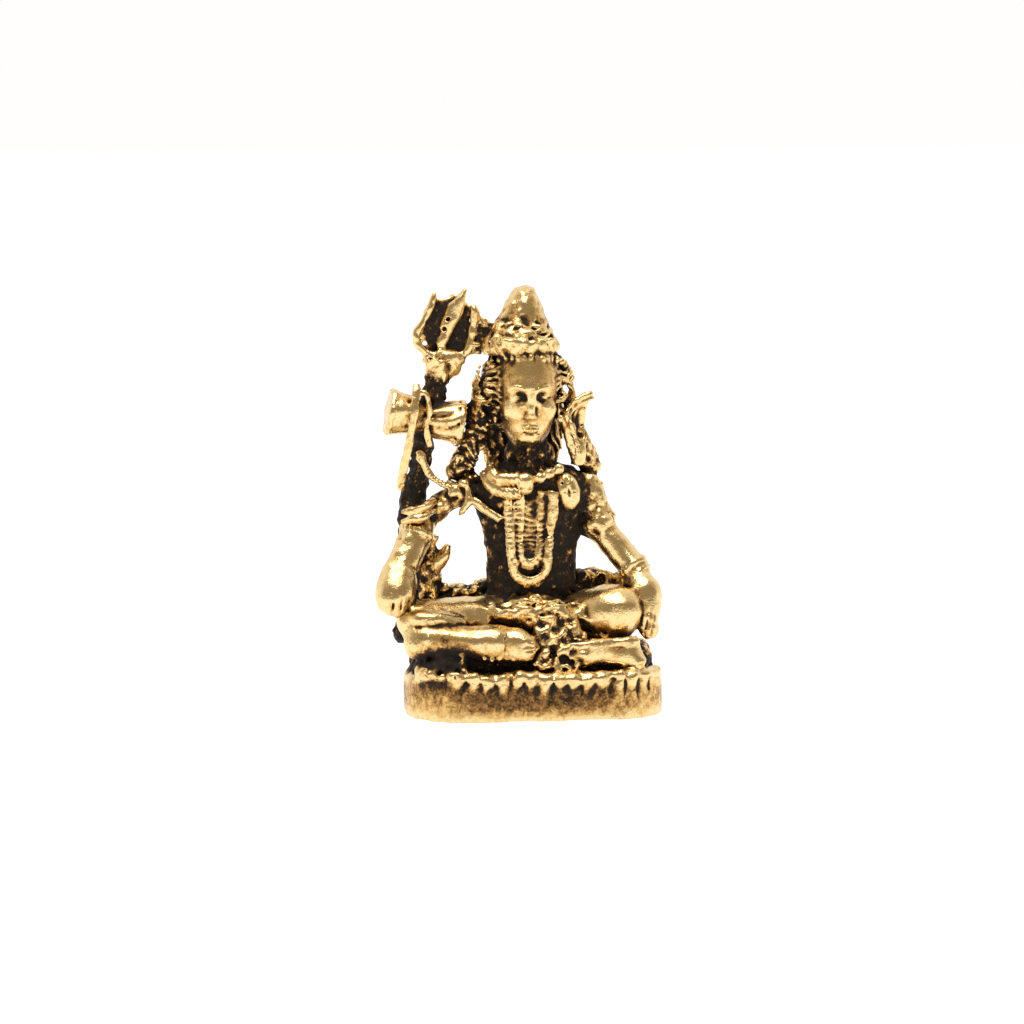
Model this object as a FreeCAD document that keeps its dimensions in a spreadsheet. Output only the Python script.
"""Small cast-brass figure of Shiva, seated cross-legged on a slab, with a trident and hour-glass drum.

The real statue is one casting. Its sub-parts here are the pieces of the pattern it is cast from: each
is a solid of its own, cut back where it meets its neighbours. Three pairs still overlap a little: the
left forearm and left upper arm, the hair bridge and topknot, and the outer and middle garland strands.
Millimetres; +Z is up, the figure faces -Y, its right hand is at -X, and the origin is the middle of
the slab's flat underside.
"""
import FreeCAD, Part
import math
import os

import Sketcher

V = FreeCAD.Vector
X, Y, Z = V(1, 0, 0), V(0, 1, 0), V(0, 0, 1)

# The driving dimensions. A skeleton point has three entries: NAME_x, NAME_y and NAME_z.
LENGTHS = {
    "base_length": 26.6, "base_depth": 14.6, "base_rise": 4.4, "base_corner": 6.2, "base_edge": 0.9,
    "mat_length": 25.0, "mat_depth": 10.6, "mat_rise": 2.3, "mat_corner": 4.2, "mat_set_back": 1.4,
    "fringe_radius": 0.85, "post_radius": 0.62,
    "drape_depth": 3.2, "drape_rise": 7.4, "drape_reach": 10.4,
    "thigh_radius": 2.4, "left_thigh_radius": 2.8, "shin_radius": 2.05, "left_shin_radius": 1.35,
    "foot_radius": 1.75, "waist_radius": 4.8, "chest_radius": 6.1, "chest_share": 0.52,
    "neck_radius": 1.75, "head_radius": 3.3, "head_rise": 10.8,
    "cap_radius": 4.6, "band_radius": 3.15, "band_roll": 0.95, "knot_radius": 3.3, "knot_rise": 5.7,
    "lock_radius": 1.4, "coil_radius": 0.7, "bead_radius": 0.6, "strand_radius": 0.56,
    "garland_width": 4.9, "garland_drop": 9.2, "thread_radius": 0.3,
    "upper_arm_radius": 1.4, "left_upper_arm_radius": 1.85, "forearm_radius": 1.7, "hand_radius": 2.05,
    "left_forearm_radius": 1.45, "left_hand_radius": 1.75,
    "armlet_radius": 1.35, "armlet_roll": 0.45, "bracelet_roll": 0.3,
    "staff_radius": 1.2, "prong_radius": 0.45, "trident_span": 6.0, "trident_rise": 7.2,
    "trident_depth": 1.1, "socket_radius": 1.3,
    "drum_half": 3.95, "drum_radius": 2.4, "drum_waist": 1.35, "drum_tilt": 10.0, "drum_rim": 0.55,
    "ribbon_width": 0.85, "ribbon_depth": 0.5, "pot_radius": 1.15, "pot_rise": 5.4,
    "cobra_rise": 6.8, "cobra_radius": 0.95,
}
POINTS = {
    "right_hip": (-2.8, 0.6, 9.7), "right_knee": (-12.7, -2.6, 9.7),
    "right_shin_top": (-12.3, -3.7, 8.0), "right_ankle": (-3.6, -5.1, 7.8), "right_toe": (-0.9, -5.6, 7),
    "left_hip": (2.6, 0.6, 9.7), "left_knee": (8.9, -2.9, 10.6),
    "left_shin_top": (9.6, -4.5, 6.6), "left_ankle": (3.7, -5.6, 6.5),
    "lap": (0.2, -2.1, 10.7), "flap": (2.0, -4.3, 8.9), "flap_foot": (2.2, -5.9, 5.1),
    "waist": (0, 1.3, 8.3), "neck": (-0.3, 0.9, 25.1), "skull": (-0.6, 0.5, 27.8),
    "cap": (-0.9, 1.6, 33.5), "band": (-1.15, 0.9, 37.7), "knot": (-1.2, 1, 38.3),
    "mane": (-0.5, 4.1, 29.3), "garland": (-0.6, -1.75, 22.9), "serpent_head": (-1.1, -2.6, 23.9),
    "drape": (3.4, -1.5, 22.9),
    "right_shoulder": (-6, 1.6, 23.6), "right_elbow": (-11.3, 1, 20),
    "right_wrist": (-13.8, -1.2, 15.1), "right_knuckle": (-14.9, -3, 11.7),
    "left_shoulder": (5.5, 1.6, 23.8), "left_elbow": (7.1, 1.1, 18.9),
    "left_wrist": (10.6, -0.8, 14.5), "left_knuckle": (12.5, -2.7, 11.1), "left_fingers": (11.7, -3.6, 8.1),
    "staff_foot": (-11.4, 3.6, 6.7), "staff_bend": (-12.3, 2.6, 21), "staff_top": (-10, 1, 34.5),
    "trident": (-9.1, 1, 36.6), "drum": (-11.1, 0.5, 30.5), "pot": (-10.5, 2.2, 12.6),
    "cobra": (4.5, -0.3, 25.7), "post": (-8.3, -5.6, 4.4),
}


def write_sheet(document):
    """The spreadsheet: a name in column A and its plain number, with that alias, in column B."""
    page = document.addObject("Spreadsheet::Sheet", "dims")
    cells = dict(LENGTHS)
    for name, place in POINTS.items():
        for axis, value in zip("xyz", place):
            cells[f"{name}_{axis}"] = value
    for row, (alias, value) in enumerate(cells.items(), start=1):
        page.set(f"A{row}", alias)
        page.set(f"B{row}", str(value))
        page.setAlias(f"B{row}", alias)
    document.recompute()
    return page


doc = FreeCAD.newDocument("seated_figure")
sheet = write_sheet(doc)
ruler = doc.addObject("App::FeaturePython", "ruler")  # reads an expression's value while building
finished = {}


def number(expression):
    """The value of an expression on the sheet, as a plain float."""
    value = ruler.evalExpression(str(expression))
    return float(getattr(value, "Value", value))


def along(start, end, share):
    """Expressions for the point a share of the way from one skeleton point to another."""
    return [f"dims.{start}_{a} + {share} * (dims.{end}_{a} - dims.{start}_{a})" for a in "xyz"]


def near(point, dx="0", dy="0", dz="0"):
    """Expressions for a skeleton point moved by three expressions."""
    return [f"dims.{point}_{a} + ({d})" for a, d in zip("xyz", (dx, dy, dz))]


def place(item, position, rotation=FreeCAD.Rotation()):
    """Turns an object and binds its position to the sheet."""
    item.Placement = FreeCAD.Placement(V(*(number(e) for e in position)), rotation)
    for axis, expression in zip("xyz", position):
        item.setExpression(f"Placement.Base.{axis}", expression)
    return item


def sized(kind, label, position, rotation=FreeCAD.Rotation(), **sizes):
    """A Part primitive whose sizes and position are bound to the sheet."""
    item = doc.addObject(kind, label + "_blank")
    for name, expression in sizes.items():
        item.setExpression(name, expression)
    return place(item, position, rotation)


def ellipsoid(label, position, x_radius, y_radius, z_radius, rotation=FreeCAD.Rotation()):
    """An ellipsoid; its three radii are expressions."""
    return sized("Part::Ellipsoid", label, position, rotation,
                 Radius1=z_radius, Radius2=x_radius, Radius3=y_radius)


def ring(label, position, direction, radius, roll):
    """A torus round a direction."""
    turn = FreeCAD.Rotation(Z, direction)
    return sized("Part::Torus", label, position, turn, Radius1=radius, Radius2=roll)


def loft(label, stations, broadside):
    """A smooth loft through ellipses square to their path.

    Each station is (position, major radius, minor radius); broadside is the way the major radius lies.
    """
    spots = [V(*(number(e) for e in position)) for position, _, _ in stations]
    sections = []
    for i, (position, major, minor) in enumerate(stations):
        ahead = spots[min(i + 1, len(spots) - 1)] - spots[max(i - 1, 0)]
        turn = FreeCAD.Rotation(broadside, V(), ahead, "ZXY")
        section = doc.addObject("Part::Ellipse", f"{label}_section")
        section.setExpression("MajorRadius", major)
        section.setExpression("MinorRadius", minor)
        sections.append(place(section, position, turn))
    body = doc.addObject("Part::Loft", label + "_blank")
    body.Sections = sections
    body.Solid = True
    return body


def limb(label, start, end, radius, profile, flat=1.0, broadside=X):
    """A loft along the line between two skeleton points.

    profile is [(share of the way, share of the radius)]; flat is the minor radius over the major.
    """
    stations = [(along(start, end, way), f"dims.{radius} * {wide}", f"dims.{radius} * {wide * flat}")
                for way, wide in profile]
    return loft(label, stations, broadside)


def find_plane(body, role):
    """One of a body's own origin planes."""
    return next(f for f in body.Origin.OriginFeatures if f.Role == role)


def outline(body, role, corners):
    """A closed sketch of straight edges on an origin plane, each corner bound to the sheet."""
    sketch = body.newObject("Sketcher::SketchObject", "outline")
    sketch.AttachmentSupport = [(find_plane(body, role), "")]
    sketch.MapMode = "FlatFace"
    spots = [V(number(x), number(y), 0) for x, y in corners]
    for i, spot in enumerate(spots):
        sketch.addGeometry(Part.LineSegment(spot, spots[(i + 1) % len(spots)]), False)
    for i, (x, y) in enumerate(corners):
        sketch.addConstraint(Sketcher.Constraint("Coincident", i - 1 if i else len(corners) - 1, 2, i, 1))
        for kind, expression in (("DistanceX", x), ("DistanceY", y)):
            index = sketch.addConstraint(Sketcher.Constraint(kind, -1, 1, i, 1, number(expression)))
            sketch.setExpression(f"Constraints[{index}]", expression)
    return sketch


def padded(label, role, corners, length, position, rounds=()):
    """A PartDesign pad of an outline, with fillets. rounds is [(which edges, radius expression)]."""
    body = doc.addObject("PartDesign::Body", label + "_blank")
    sketch = outline(body, role, corners)
    pad = body.newObject("PartDesign::Pad", "pad")
    pad.Profile = sketch
    pad.setExpression("Length", length)
    doc.recompute()
    for picked, radius in rounds:
        base = body.Tip
        names = [f"Edge{i}" for i, edge in enumerate(base.Shape.Edges, start=1) if picked(edge, base.Shape)]
        fillet = body.newObject("PartDesign::Fillet", "fillet")
        fillet.Base = (base, names)
        fillet.setExpression("Radius", radius)
        doc.recompute()
    return place(body, position)


def revolved(label, corners, position, direction=Z):
    """A PartDesign revolution of (radius, height) corners about an upright axis, then turned."""
    body = doc.addObject("PartDesign::Body", label + "_blank")
    sketch = outline(body, "XZ_Plane", corners)
    turning = body.newObject("PartDesign::Revolution", "revolution")
    turning.Profile = sketch
    turning.ReferenceAxis = (sketch, ["V_Axis"])
    turning.Angle = 360
    return place(body, position, FreeCAD.Rotation(Z, direction))


def upright(edge, shape):
    """True for an edge that runs along Z."""
    return abs(edge.tangentAt(edge.FirstParameter).z) > 0.99 and edge.Length > 0.5


def at_top(edge, shape):
    """True for an edge in the shape's highest plane."""
    return edge.BoundBox.ZMin > shape.BoundBox.ZMax - 1e-4


def fit(label, blank, *neighbours):
    """Finishes a piece: takes away the neighbours it is cast against, and gives it its node's name."""
    for other in neighbours:
        cut = doc.addObject("Part::Cut", f"{label}_less_{other}")
        cut.Base = blank
        cut.Tool = finished[other]
        cut.Refine = False
        blank = cut
    blank.Label = label
    finished[label] = blank


# ---------------------------------------------------------------------------------- slab and seat

def slab_outline(length, depth, set_back="0"):
    """A rectangle about the origin, moved back by set_back."""
    half, front, back = f"{length} / 2", f"{set_back} - {depth} / 2", f"{set_back} + {depth} / 2"
    return [(f"-{half}", front), (half, front), (half, back), (f"-{half}", back)]


def make_seat():
    """The slab, the folded mat on it, its fringe along the front, and the stub under the right shin."""
    rounds = [(upright, "dims.base_corner"), (at_top, "dims.base_edge")]
    fit("pedestal", padded("pedestal", "XY_Plane", slab_outline("dims.base_length", "dims.base_depth"),
                           "dims.base_rise", ["0", "0", "0"], rounds))
    rounds = [(upright, "dims.mat_corner"), (at_top, "dims.mat_rise * 0.35")]
    corners = slab_outline("dims.mat_length", "dims.mat_depth", "dims.mat_set_back")
    fit("seat_mat", padded("seat_mat", "XY_Plane", corners, "dims.mat_rise",
                           ["0", "0", "dims.base_rise"], rounds))
    rim = []
    for share in (-0.98, -0.9, -0.7, -0.4, 0.0, 0.4, 0.7, 0.9, 0.98):
        bow = 1.0 - abs(share) ** 6 * 0.55
        spot = [f"{share} * (dims.base_length / 2 - 0.9)", f"-{bow:.3f} * (dims.base_depth / 2 - 0.8)",
                "dims.base_rise - 0.1"]
        rim.append((spot, "dims.fringe_radius", "dims.fringe_radius * 0.75"))
    fit("mat_fringe", loft("mat_fringe", rim, Y), "pedestal", "seat_mat")
    fit("support_post", sized("Part::Cylinder", "support_post", near("post"),
                              Radius="dims.post_radius", Height="2.6"), "mat_fringe")


def make_rear_drape():
    """The low back of the seat: an animal skin bunched behind the lap, and the water pot on it."""
    reach, rise = "dims.drape_reach", "dims.drape_rise"
    corners = [(f"-{reach} - 0.4", "0"), (f"{reach} - 0.6", "0"), (f"{reach} - 0.8", f"{rise} * 0.85"),
               (f"{reach} * 0.7", f"{rise} * 1.02"), (f"{reach} * 0.35", f"{rise}"),
               (f"-{reach} * 0.45", f"{rise} * 0.86"), (f"-{reach} * 0.8", f"{rise} * 0.76"),
               (f"-{reach} - 0.3", f"{rise} * 0.68")]
    body = padded("rear_drape", "XZ_Plane", corners, "dims.drape_depth",
                  ["0", "4.7", "dims.base_rise + dims.mat_rise"])
    fit("rear_drape", body, "torso")


def make_water_pot():
    """A little spouted pot that stands on the drape behind the right forearm."""
    radius, rise = "dims.pot_radius", "dims.pot_rise"
    corners = [("0", "-0.8"), (radius, "-0.8"), (radius, f"{rise} * 0.3"),
               (f"{radius} * 0.95", f"{rise} * 0.6"),
               (f"{radius} * 0.6", f"{rise} * 0.85"), (f"{radius} * 0.75", rise), ("0", rise)]
    fit("water_pot", revolved("water_pot", corners, near("pot")), "rear_drape")
    spout = [(near("pot", "0.3", "-0.2", "2.3"), "0.85", "0.75"),
             (near("pot", "0.9", "-0.4", "2.7"), "0.85", "0.72"),
             (near("pot", "1.4", "-0.5", "3.3"), "0.8", "0.68"),
             (near("pot", "1.8", "-0.5", "4.1"), "0.62", "0.5"),
             (near("pot", "2.0", "-0.5", "4.6"), "0.3", "0.25")]
    fit("pot_spout", loft("pot_spout", spout, Y), "water_pot")


# ---------------------------------------------------------------------------------- body and legs

def make_torso():
    """Waist, ribs and shoulders in one loft, and the neck on it."""
    levels = [(0.0, 0.96), (2.4, 1.02), (5.2, 0.98), (8.8, 1.0)]
    share = "dims.chest_share"
    stations = [(near("waist", dz=str(up)), f"dims.waist_radius * {wide}",
                 f"dims.waist_radius * {wide} * 0.6")
                for up, wide in levels]
    for up, wide in ((12.2, 0.92), (14.8, 1.0), (16.4, 0.82), (17.4, 0.45)):
        stations.append((near("waist", dz=str(up)), f"dims.chest_radius * {wide}",
                         f"dims.chest_radius * {wide} * {share}"))
    fit("torso", loft("torso", stations, X))
    fit("neck", sized("Part::Cylinder", "neck", near("neck"), Radius="dims.neck_radius", Height="4.2"),
        "torso", "head")


def make_legs():
    """Crossed legs: each thigh runs out to its knee, and its shin comes back in front of it."""
    thigh = [(-0.12, 0.75), (0.1, 0.98), (0.5, 1.0), (0.85, 1.0), (1.02, 0.86), (1.12, 0.5), (1.16, 0.2)]
    fit("right_thigh", limb("right_thigh", "right_hip", "right_knee", "thigh_radius", thigh),
        "torso", "seat_mat", "rear_drape")
    swelling = [(-0.2, 0.6), (0.1, 0.7), (0.4, 0.88), (0.72, 1.0), (0.98, 0.98), (1.15, 0.78), (1.27, 0.4),
                (1.3, 0.15)]
    fit("left_thigh", limb("left_thigh", "left_hip", "left_knee", "left_thigh_radius", swelling),
        "torso", "seat_mat", "rear_drape")
    shin = [(-0.18, 0.25), (-0.13, 0.7), (0.0, 1.0), (0.3, 1.0), (0.7, 0.92), (1.0, 0.8)]
    fit("right_shin", limb("right_shin", "right_shin_top", "right_ankle", "shin_radius", shin, 0.95, Y),
        "right_thigh", "seat_mat", "support_post")
    foot = [(-0.35, 0.85), (0.1, 1.0), (0.6, 0.98), (1.0, 0.75), (1.15, 0.35)]
    fit("right_foot", limb("right_foot", "right_ankle", "right_toe", "foot_radius", foot, 0.8, Z),
        "right_shin", "right_thigh", "seat_mat", "mat_fringe", "pedestal")
    shin = [(-0.14, 0.3), (-0.1, 0.8), (0.0, 1.1), (0.2, 1.05), (0.6, 0.95), (0.9, 0.95), (1.05, 0.5)]
    fit("left_shin", limb("left_shin", "left_shin_top", "left_ankle", "left_shin_radius", shin, 0.95, Y),
        "left_thigh", "seat_mat", "right_foot", "mat_fringe", "pedestal")


def make_loincloth():
    """The bunched cloth in the lap and the end of it that hangs between the shins."""
    bunch = [(near("lap", f"{across} * 3.6", "0", f"-{abs(across)} * 0.5"), f"2.2 * {wide}", f"1.7 * {wide}")
             for across, wide in ((-1.0, 0.3), (-0.8, 0.7), (-0.35, 0.98), (0.1, 1.0), (0.5, 0.95),
                                  (0.85, 0.65), (1.0, 0.3))]
    fit("loincloth", loft("loincloth", bunch, Y), "torso", "right_thigh", "left_thigh")
    flap = [(along("flap", "flap_foot", way), f"2.7 * {wide}", f"0.85 * {wide}")
            for way, wide in ((-0.3, 0.6), (0.0, 0.9), (0.4, 1.0), (0.8, 1.0), (1.0, 0.9))]
    fit("loincloth_flap", loft("loincloth_flap", flap, X), "right_shin", "left_shin", "left_thigh",
        "right_thigh", "right_foot", "loincloth", "seat_mat", "mat_fringe", "pedestal")


# ---------------------------------------------------------------------------------- arms

def make_arm(side, hand_profile):
    """One arm: upper arm, forearm, and a hand cupped over the knee."""
    small = "left_" if side == "left" else ""
    upper = [(-0.12, 0.5), (0.0, 0.85), (0.25, 1.0), (0.7, 0.92), (1.0, 0.95), (1.14, 0.5)]
    lock = f"hair_lock_{side}"
    arm = limb(f"{side}_upper_arm", f"{side}_shoulder", f"{side}_elbow", f"{small}upper_arm_radius", upper)
    fit(f"{side}_upper_arm", arm, "torso", lock, "rear_drape")
    fore = [(-0.16, 0.6), (0.0, 0.9), (0.35, 1.0), (0.8, 1.0), (1.1, 1.02)]
    fit(f"{side}_forearm", limb(f"{side}_forearm", f"{side}_elbow", f"{side}_wrist",
                                f"{small}forearm_radius", fore),
        f"{side}_upper_arm", "rear_drape", f"{side}_thigh")
    end = "left_fingers" if side == "left" else "right_knuckle"
    hand = limb(f"{side}_hand", f"{side}_wrist", end, f"{small}hand_radius", hand_profile)
    fit(f"{side}_hand", hand, f"{side}_forearm", f"{side}_thigh", f"{side}_shin")


def arm_ring(label, start, end, share, radius, roll, *neighbours):
    """A ring square to the line between two skeleton points."""
    direction = V(*(number(f"dims.{end}_{a} - dims.{start}_{a}") for a in "xyz"))
    fit(label, ring(label, along(start, end, share), direction, radius, roll), *neighbours)


def make_arms():
    """Both arms with their armlets and bracelets."""
    make_arm("right", [(-0.02, 0.75), (0.25, 0.95), (0.6, 1.0), (0.95, 0.88), (1.15, 0.62), (1.25, 0.3)])
    make_arm("left", [(-0.04, 0.78), (0.2, 0.92), (0.45, 1.0), (0.7, 0.85), (0.95, 0.55), (1.05, 0.3)])
    arm_ring("right_armlet", "right_shoulder", "right_elbow", 0.3, "dims.armlet_radius", "dims.armlet_roll",
             "right_upper_arm", "torso", "hair_lock_right")
    arm_ring("left_armlet", "left_shoulder", "left_elbow", 0.9, "dims.armlet_radius * 1.15",
             "dims.armlet_roll",
             "left_upper_arm", "left_forearm", "torso")
    arm_ring("right_bracelet", "right_elbow", "right_wrist", 0.3, "dims.forearm_radius", "dims.bracelet_roll",
             "right_forearm", "right_upper_arm")
    arm_ring("left_bracelet", "left_elbow", "left_wrist", 0.92, "dims.left_forearm_radius",
             "dims.bracelet_roll",
             "left_forearm", "left_hand")


# ---------------------------------------------------------------------------------- head and hair

def make_head():
    """Chin to crown in one loft. The features are left to the finishing model."""
    shape = [(0.0, -1.7, 0.34, 0.36), (0.06, -1.3, 0.58, 0.66), (0.2, -0.5, 0.82, 0.98),
             (0.42, 0.0, 0.98, 1.2),
             (0.66, 0.1, 1.0, 1.22), (0.86, 0.2, 0.82, 1.0), (0.96, 0.3, 0.5, 0.6), (1.0, 0.3, 0.2, 0.25)]
    stations = [(near("skull", dy=str(shift), dz=f"dims.head_rise * {up}"),
                 f"dims.head_radius * {deep}", f"dims.head_radius * {wide}")
                for up, shift, wide, deep in shape]
    fit("head", loft("head", stations, Y))


def make_hair():
    """Cap, head band, topknot, the two side locks, and the mane down the back."""
    fit("hair_cap", ellipsoid("hair_cap", near("cap"), "dims.cap_radius", "3.5", "5.2"), "head")
    fit("hair_band", ring("hair_band", near("band"), V(0, 0.1, 1), "dims.band_radius", "dims.band_roll"),
        "head", "hair_cap")
    radius, rise = "dims.knot_radius", "dims.knot_rise"
    shape = [(0.0, 0.0), (1.08, 0.0), (1.0, 0.19), (0.8, 0.35), (0.7, 0.47), (0.61, 0.6), (0.5, 0.75),
             (0.44, 0.84), (0.33, 0.94), (0.15, 0.99), (0.0, 1.0)]
    corners = [(f"{radius} * {out}", f"{rise} * {up}") for out, up in shape]
    fit("topknot", revolved("topknot", corners, near("knot"), V(0.1, 0, 1)), "head", "hair_cap", "hair_band")
    make_lock("right", "-3.9", [(0.0, 0.0, 0.55), (-0.3, -2.9, 0.78), (-0.5, -5.1, 0.92), (-1.0, -7.2, 0.98),
                                (-1.9, -9.6, 0.95), (-2.8, -11.3, 0.75), (-3.3, -12.2, 0.4)])
    make_lock("left", "4.5", [(-0.45, 0.3, 0.3), (0.1, -2.4, 0.62), (0.45, -5.1, 0.72), (1.0, -7.4, 0.85),
                              (1.8, -9.0, 0.9), (2.7, -10.5, 0.8), (3.4, -11.6, 0.45)])
    mane = ellipsoid("back_hair", near("mane"), "dims.cap_radius", "1.8", "7.4")
    fit("back_hair", mane, "hair_cap", "torso", "head", "neck", "hair_lock_right", "hair_lock_left")


def make_lock(side, start, path):
    """A matted lock from the temple to the shoulder; path is [(out, up, share of the radius)]."""
    stations = [(near("cap", f"{start} + {out}", f"-0.8 - {up} * 0.09", f"2.4 + {up}"),
                 f"dims.lock_radius * {wide}", f"dims.lock_radius * {wide} * 0.9") for out, up, wide in path]
    label = f"hair_lock_{side}"
    fit(label, loft(label, stations, X), "hair_cap", "torso")


# ---------------------------------------------------------------------------------- ornaments

def make_necklace():
    """The serpent's head and two coils, and the seed beads on the left side of the collar."""
    fit("serpent_head", ellipsoid("serpent_head", near("serpent_head"), "0.95", "0.85", "1.2"), "torso")
    upper = [("-3.0", "2.9", "1.9"), ("-3.2", "1.5", "1.2"), ("-2.7", "0.6", "0.6"), ("-1.8", "0.0", "0.45"),
             ("-0.5", "-0.1", "0.6")]
    lower = [("-3.7", "2.6", "0.9"), ("-3.6", "1.5", "0.0"), ("-2.9", "0.8", "-0.7"),
             ("-1.8", "0.2", "-0.95"),
             ("-0.5", "0.0", "-0.8")]
    for name, shifts in (("upper", upper), ("lower", lower)):
        stations = [(near("serpent_head", *shift), "dims.coil_radius",
                     "dims.coil_radius")
                    for shift in shifts]
        label = f"serpent_{name}_coil"
        taken = ["serpent_upper_coil"] if name == "lower" else ["neck"]
        fit(label, loft(label, stations, Z), "torso", "serpent_head", "hair_lock_right", *taken)
    beads = []
    for i in range(3):
        spot = near("serpent_head", f"1.45 + {i} * 1.02", f"0.05 + {i * i} * 0.1", f"0.6 + {i} * 0.4")
        beads.append(sized("Part::Sphere", "bead", spot, Radius="dims.bead_radius"))
    string = doc.addObject("Part::Compound", "rudraksha_beads_blank")
    string.Links = beads
    fit("rudraksha_beads", string, "torso", "neck", "serpent_head", "hair_lock_left")


def hanging_cord(label, position, width, drop, radius, tilt):
    """A round cord swept along a U that hangs from a point: two straights that lean in, and an arc.

    width, drop and radius are expressions; tilt leans the U's plane back about X, in degrees.
    """
    path = doc.addObject("Sketcher::SketchObject", label + "_path")
    half, bend = number(f"{width} / 2"), number(f"{width} * 0.36")
    down = number(f"{width} * 0.36 - {drop}")
    turn_in = math.atan2(-down, -half) + math.acos(bend / math.hypot(half, down))
    touch = V(bend * math.cos(turn_in), down + bend * math.sin(turn_in), 0)
    path.addGeometry(Part.LineSegment(V(-half, 0, 0), touch), False)
    path.addGeometry(Part.ArcOfCircle(Part.Circle(V(0, down, 0), Z, bend), turn_in, 3 * math.pi - turn_in),
                     False)
    path.addGeometry(Part.LineSegment(V(-touch.x, touch.y, 0), V(half, 0, 0)), False)
    path.addConstraint(Sketcher.Constraint("Tangent", 0, 2, 1, 1))
    path.addConstraint(Sketcher.Constraint("Tangent", 1, 2, 2, 1))
    path.addConstraint(Sketcher.Constraint("PointOnObject", 1, 3, -2))
    bound = [("DistanceX", (-1, 1, 0, 1), f"-{width} / 2"), ("DistanceY", (-1, 1, 0, 1), "0"),
             ("DistanceX", (-1, 1, 2, 2), f"{width} / 2"), ("DistanceY", (-1, 1, 2, 2), "0"),
             ("DistanceY", (-1, 1, 1, 3), f"{width} * 0.36 - {drop}"), ("Radius", (1,), f"{width} * 0.36")]
    for kind, ends, expression in bound:
        index = path.addConstraint(Sketcher.Constraint(kind, *ends, number(expression)))
        path.setExpression(f"Constraints[{index}]", expression)
    turn = FreeCAD.Rotation(X, 90 - tilt)
    place(path, position, turn)
    section = doc.addObject("Part::Circle", label + "_section")
    section.setExpression("Radius", radius)
    place(section, [f"{e} - {width} / 2" if i == 0 else e for i, e in enumerate(position)],
          FreeCAD.Rotation(X, -tilt))
    cord = doc.addObject("Part::Sweep", label + "_blank")
    cord.Sections = [section]
    cord.Spine = (path, ["Edge1", "Edge2", "Edge3"])
    cord.Solid = True
    return cord


def make_garland():
    """Three nested strands, and the fold of skin that hangs from the left shoulder."""
    width, drop, radius = "dims.garland_width", "dims.garland_drop", "dims.strand_radius"
    over = ["torso", "neck", "serpent_head", "serpent_upper_coil", "serpent_lower_coil", "rudraksha_beads"]
    fit("garland_outer", hanging_cord("garland_outer", near("garland"), width, drop, radius, 2), *over)
    fit("garland_middle", hanging_cord("garland_middle", near("garland"), f"{width} * 0.5",
                                       f"{drop} * 0.8", radius, 2), *over)
    fit("garland_inner", ellipsoid("garland_inner", near("garland", dz=f"-{drop} * 0.4"),
                                   f"{width} * 0.14", "0.6", f"{drop} * 0.26"), *over, "garland_middle")
    fold = [(near("drape", f"-{up} * 0.2", "0.1", up), f"1.15 * {wide}", f"0.95 * {wide}")
            for up, wide in (("1.9", 0.35), ("1.5", 0.75), ("0.6", 1.0), ("-0.5", 0.95), ("-1.4", 0.7),
                             ("-1.9", 0.3))]
    fit("chest_drape", loft("chest_drape", fold, X), "torso", "garland_outer", "rudraksha_beads")
    thread = [(near("garland", dx, dy, dz), "dims.thread_radius * 1.6", "dims.thread_radius")
              for dx, dy, dz in (("-5.9", "1.9", "-0.7"), ("-5.0", "0.95", "-1.4"), ("-4.2", "0.6", "-1.95"),
                                 ("-2.9", "0.1", "-2.9"))]
    fit("sacred_thread", loft("sacred_thread", thread, Z), "torso", "garland_outer", "right_upper_arm",
        "right_armlet")


def make_cobra():
    """The cobra that rears off the left shoulder, and the thin hood behind the crook of its neck."""
    rise, radius = "dims.cobra_rise", "dims.cobra_radius"
    shape = [(0.0, -0.03, 0.65), (0.02, 0.12, 0.95), (-0.02, 0.28, 1.0), (-0.1, 0.48, 0.72),
             (-0.17, 0.68, 0.48),
             (-0.11, 0.86, 0.42), (0.04, 0.96, 0.44), (0.2, 1.01, 0.48), (0.25, 1.02, 0.2)]
    stations = [(near("cobra", f"{rise} * {out}", "0", f"{rise} * {up}"), f"{radius} * {wide}",
                 f"{radius} * {min(wide, 0.25 + wide * 0.4):.2f}") for out, up, wide in shape]
    fit("shoulder_cobra", loft("shoulder_cobra", stations, X), "torso", "hair_lock_left", "hair_cap")
    corners = [(f"{rise} * {out}", f"{rise} * {up}") for out, up in
               ((-0.02, 0.3), (0.13, 0.28), (0.14, 0.62), (0.16, 0.92), (0.0, 0.9), (-0.11, 0.78),
                (-0.1, 0.55))]
    body = padded("cobra_hood", "XZ_Plane", corners, "0.6", near("cobra", dy="0.55"))
    fit("cobra_hood", body, "shoulder_cobra", "hair_lock_left", "hair_cap")


# ---------------------------------------------------------------------------------- trident and drum

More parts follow.
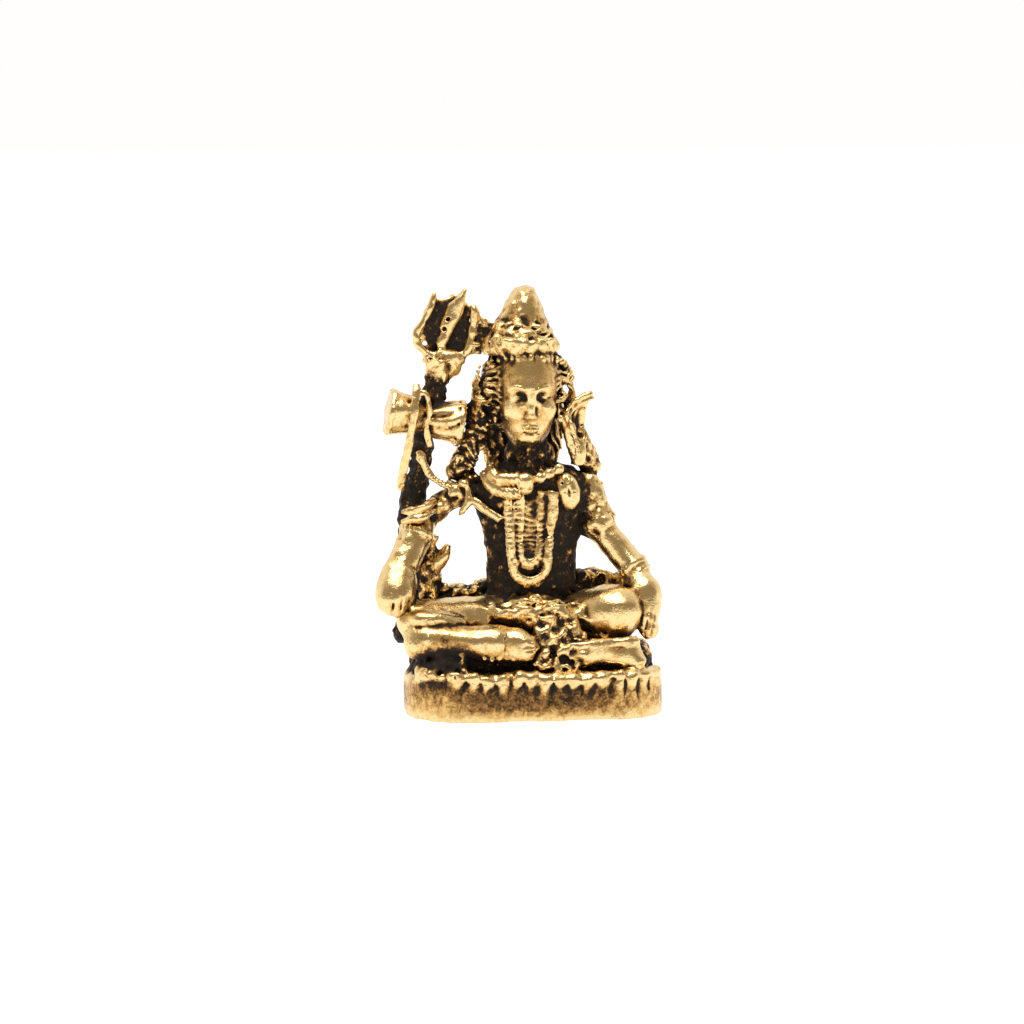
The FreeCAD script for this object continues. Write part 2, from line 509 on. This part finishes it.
def make_trident():
    """Staff, socket, crossbar, three prongs, and the thin web that the mould leaves between them."""
    radius = "dims.staff_radius"
    shaft = [(along("staff_top", "staff_bend", way), f"{radius} * {wide}", f"{radius} * {wide * 0.95}")
             for way, wide in ((0.0, 0.95), (0.3, 0.85), (0.58, 0.82), (0.8, 1.05), (0.97, 1.2))]
    shaft += [(along("staff_bend", "staff_foot", way), f"{radius} * {wide}", f"{radius} * {wide * 0.95}")
              for way, wide in ((0.3, 1.1), (0.7, 1.05), (1.0, 1.1))]
    fit("trident_staff", loft("trident_staff", shaft, X), "rear_drape", "seat_mat", "right_thigh",
        "right_upper_arm", "right_forearm", "water_pot", "right_bracelet")
    wide = "dims.socket_radius"
    corners = [("0", "-0.5"), (f"{wide} * 0.8", "-0.5"), (f"{wide} * 0.95", "0.3"), (f"{wide} * 0.9", "1.2"),
               (f"{wide} * 1.05", "2.0"), ("0", "2.0")]
    fit("trident_socket", revolved("trident_socket", corners, near("staff_top", "0.1"), V(0.12, 0, 1)),
        "trident_staff")
    fit("trident_crossbar", ellipsoid("trident_crossbar", near("trident", dz="-0.2"), "2.3", "0.8", "1.15"),
        "trident_socket")
    span, up = "dims.trident_span", "dims.trident_rise"
    prongs = {
        "left": [(-0.26, 0.06, 0.9), (-0.42, 0.17, 1.0), (-0.47, 0.31, 1.0), (-0.38, 0.48, 0.95),
                 (-0.24, 0.68, 0.9), (-0.17, 0.85, 0.8), (-0.15, 0.94, 0.4)],
        "centre": [(-0.05, 0.1, 1.0), (0.02, 0.32, 1.35), (0.12, 0.52, 1.8), (0.2, 0.67, 2.0),
                   (0.3, 0.84, 1.2), (0.38, 0.98, 0.35)],
        "right": [(0.34, 0.04, 0.9), (0.45, 0.18, 0.95), (0.48, 0.36, 0.95), (0.53, 0.56, 0.95),
                  (0.51, 0.74, 0.6)],
    }
    taken = ["trident_crossbar"]
    for name, path in prongs.items():
        stations = [(near("trident", f"{span} * {out}", "0", f"{up} * {rise}"), f"dims.prong_radius * {fat}",
                     f"dims.prong_radius * {min(fat, 1.1)}") for out, rise, fat in path]
        label = f"trident_{name}_prong"
        fit(label, loft(label, stations, X), *taken)
        taken.append(label)
    sheet_outline = [(-0.4, 0.1), (-0.42, 0.32), (-0.24, 0.6), (-0.14, 0.86), (0.0, 0.84), (0.2, 0.9),
                     (0.44, 0.76),
                     (0.5, 0.6), (0.5, 0.3), (0.4, 0.02), (0.2, -0.08), (-0.3, -0.04)]
    corners = [(f"{span} * {out}", f"{up} * {rise}") for out, rise in sheet_outline]
    body = padded("trident_web", "XZ_Plane", corners, "dims.trident_depth * 0.5", near("trident", dy="0.85"))
    fit("trident_web", body, *taken, "trident_socket")
    bridge = [(near("trident", dx, "0.15", dz), tall, deep) for dx, dz, tall, deep in
              (("3.0", "2.3", "1.7", "0.4"), ("3.5", "2.2", "2.0", "0.55"), ("4.4", "1.8", "1.75", "0.8"),
               ("5.1", "1.5", "1.4", "1.1"))]
    fit("hair_bridge", loft("hair_bridge", bridge, Z), "hair_cap", "hair_band",
        "trident_right_prong", "trident_web", "trident_crossbar")


def make_drum():
    """The hour-glass drum lashed across the staff: two bowls, two rims, two ribbons and a strap."""
    tilt = math.radians(number("dims.drum_tilt"))
    half, wide, waist = "dims.drum_half", "dims.drum_radius", "dims.drum_waist"
    corners = [("0", "0"), (waist, "0"), (f"{wide} * 0.8", f"{half} * 0.3"),
               (f"{wide} * 0.95", f"{half} * 0.75"), (f"{wide} * 0.95", f"{half} - dims.drum_rim"),
               ("0", f"{half} - dims.drum_rim")]
    rim = [("0", f"{half} - dims.drum_rim"), (wide, f"{half} - dims.drum_rim"),
           (f"{wide} * 1.03", f"{half} - 0.2"),
           (f"{wide} * 0.97", half), ("0", half)]
    axis = V(math.cos(tilt), 0, -math.sin(tilt))
    for side, way in (("left", -axis), ("right", axis)):
        fit(f"drum_{side}_bowl", revolved(f"drum_{side}_bowl", corners, near("drum"), way), "trident_staff")
        fit(f"drum_{side}_rim", revolved(f"drum_{side}_rim", rim, near("drum"), way))
    across, deep = "dims.ribbon_width / 2", "dims.ribbon_depth / 2"
    long_path = [("-1.0", "-1.0", "3.6"), ("-1.15", "-1.65", "2.2"), ("-1.35", "-2.0", "0.1"),
                 ("-1.75", "-1.7", "-1.9"), ("-2.1", "-1.1", "-3.9"), ("-2.4", "-0.4", "-5.9"),
                 ("-2.5", "0.2", "-7.4")]
    stations = [(near("drum", *shift), across, deep) for shift in long_path]
    fit("drum_long_ribbon", loft("drum_long_ribbon", stations, X), "drum_left_bowl", "drum_right_bowl",
        "drum_left_rim", "trident_staff")
    short_path = [("-0.6", "-1.2", "2.3"), ("-0.2", "-1.35", "2.7"), ("0.15", "-1.45", "2.0"),
                  ("0.2", "-1.4", "0.2"),
                  ("0.15", "-1.15", "-1.6"), ("0.5", "-0.8", "-2.9")]
    stations = [(near("drum", *shift), f"{across} * 0.75", deep) for shift in short_path]
    fit("drum_short_ribbon", loft("drum_short_ribbon", stations, X), "drum_left_bowl", "drum_right_bowl",
        "trident_staff", "drum_long_ribbon")
    strap = [("-0.7", "0.2", "-3.4"), ("0.05", "0.2", "-5.0"), ("1.1", "0.1", "-6.4"),
             ("2.4", "-0.3", "-7.1"),
             ("3.3", "-0.5", "-7.6")]
    stations = [(near("drum", *shift), f"{across} * 0.85", deep) for shift in strap]
    fit("drum_strap", loft("drum_strap", stations, X), "trident_staff", "right_upper_arm", "right_armlet",
        "drum_long_ribbon", "hair_lock_right")


# ---------------------------------------------------------------------------------- the whole

def check():
    """Stops if any object failed or any finished piece is not a sound, closed solid."""
    failed = [item.Name for item in doc.Objects if {"Invalid", "Error"} & set(item.State)]
    unsound = [label for label, item in finished.items()
               if item.Shape.isNull() or not item.Shape.isValid() or not item.Shape.Solids]
    if failed or unsound:
        raise SystemExit(f"failed: {failed}; unsound: {unsound}")


def export():
    """One STEP file per finished piece, named after its node."""
    os.makedirs("parts", exist_ok=True)
    for label, item in finished.items():
        item.Shape.exportStep(f"parts/{label}.step")


make_seat()
make_head()
make_torso()
make_rear_drape()
make_water_pot()
make_legs()
make_loincloth()
make_hair()
make_arms()
make_necklace()
make_garland()
make_cobra()
make_trident()
make_drum()
doc.recompute()
check()
export()
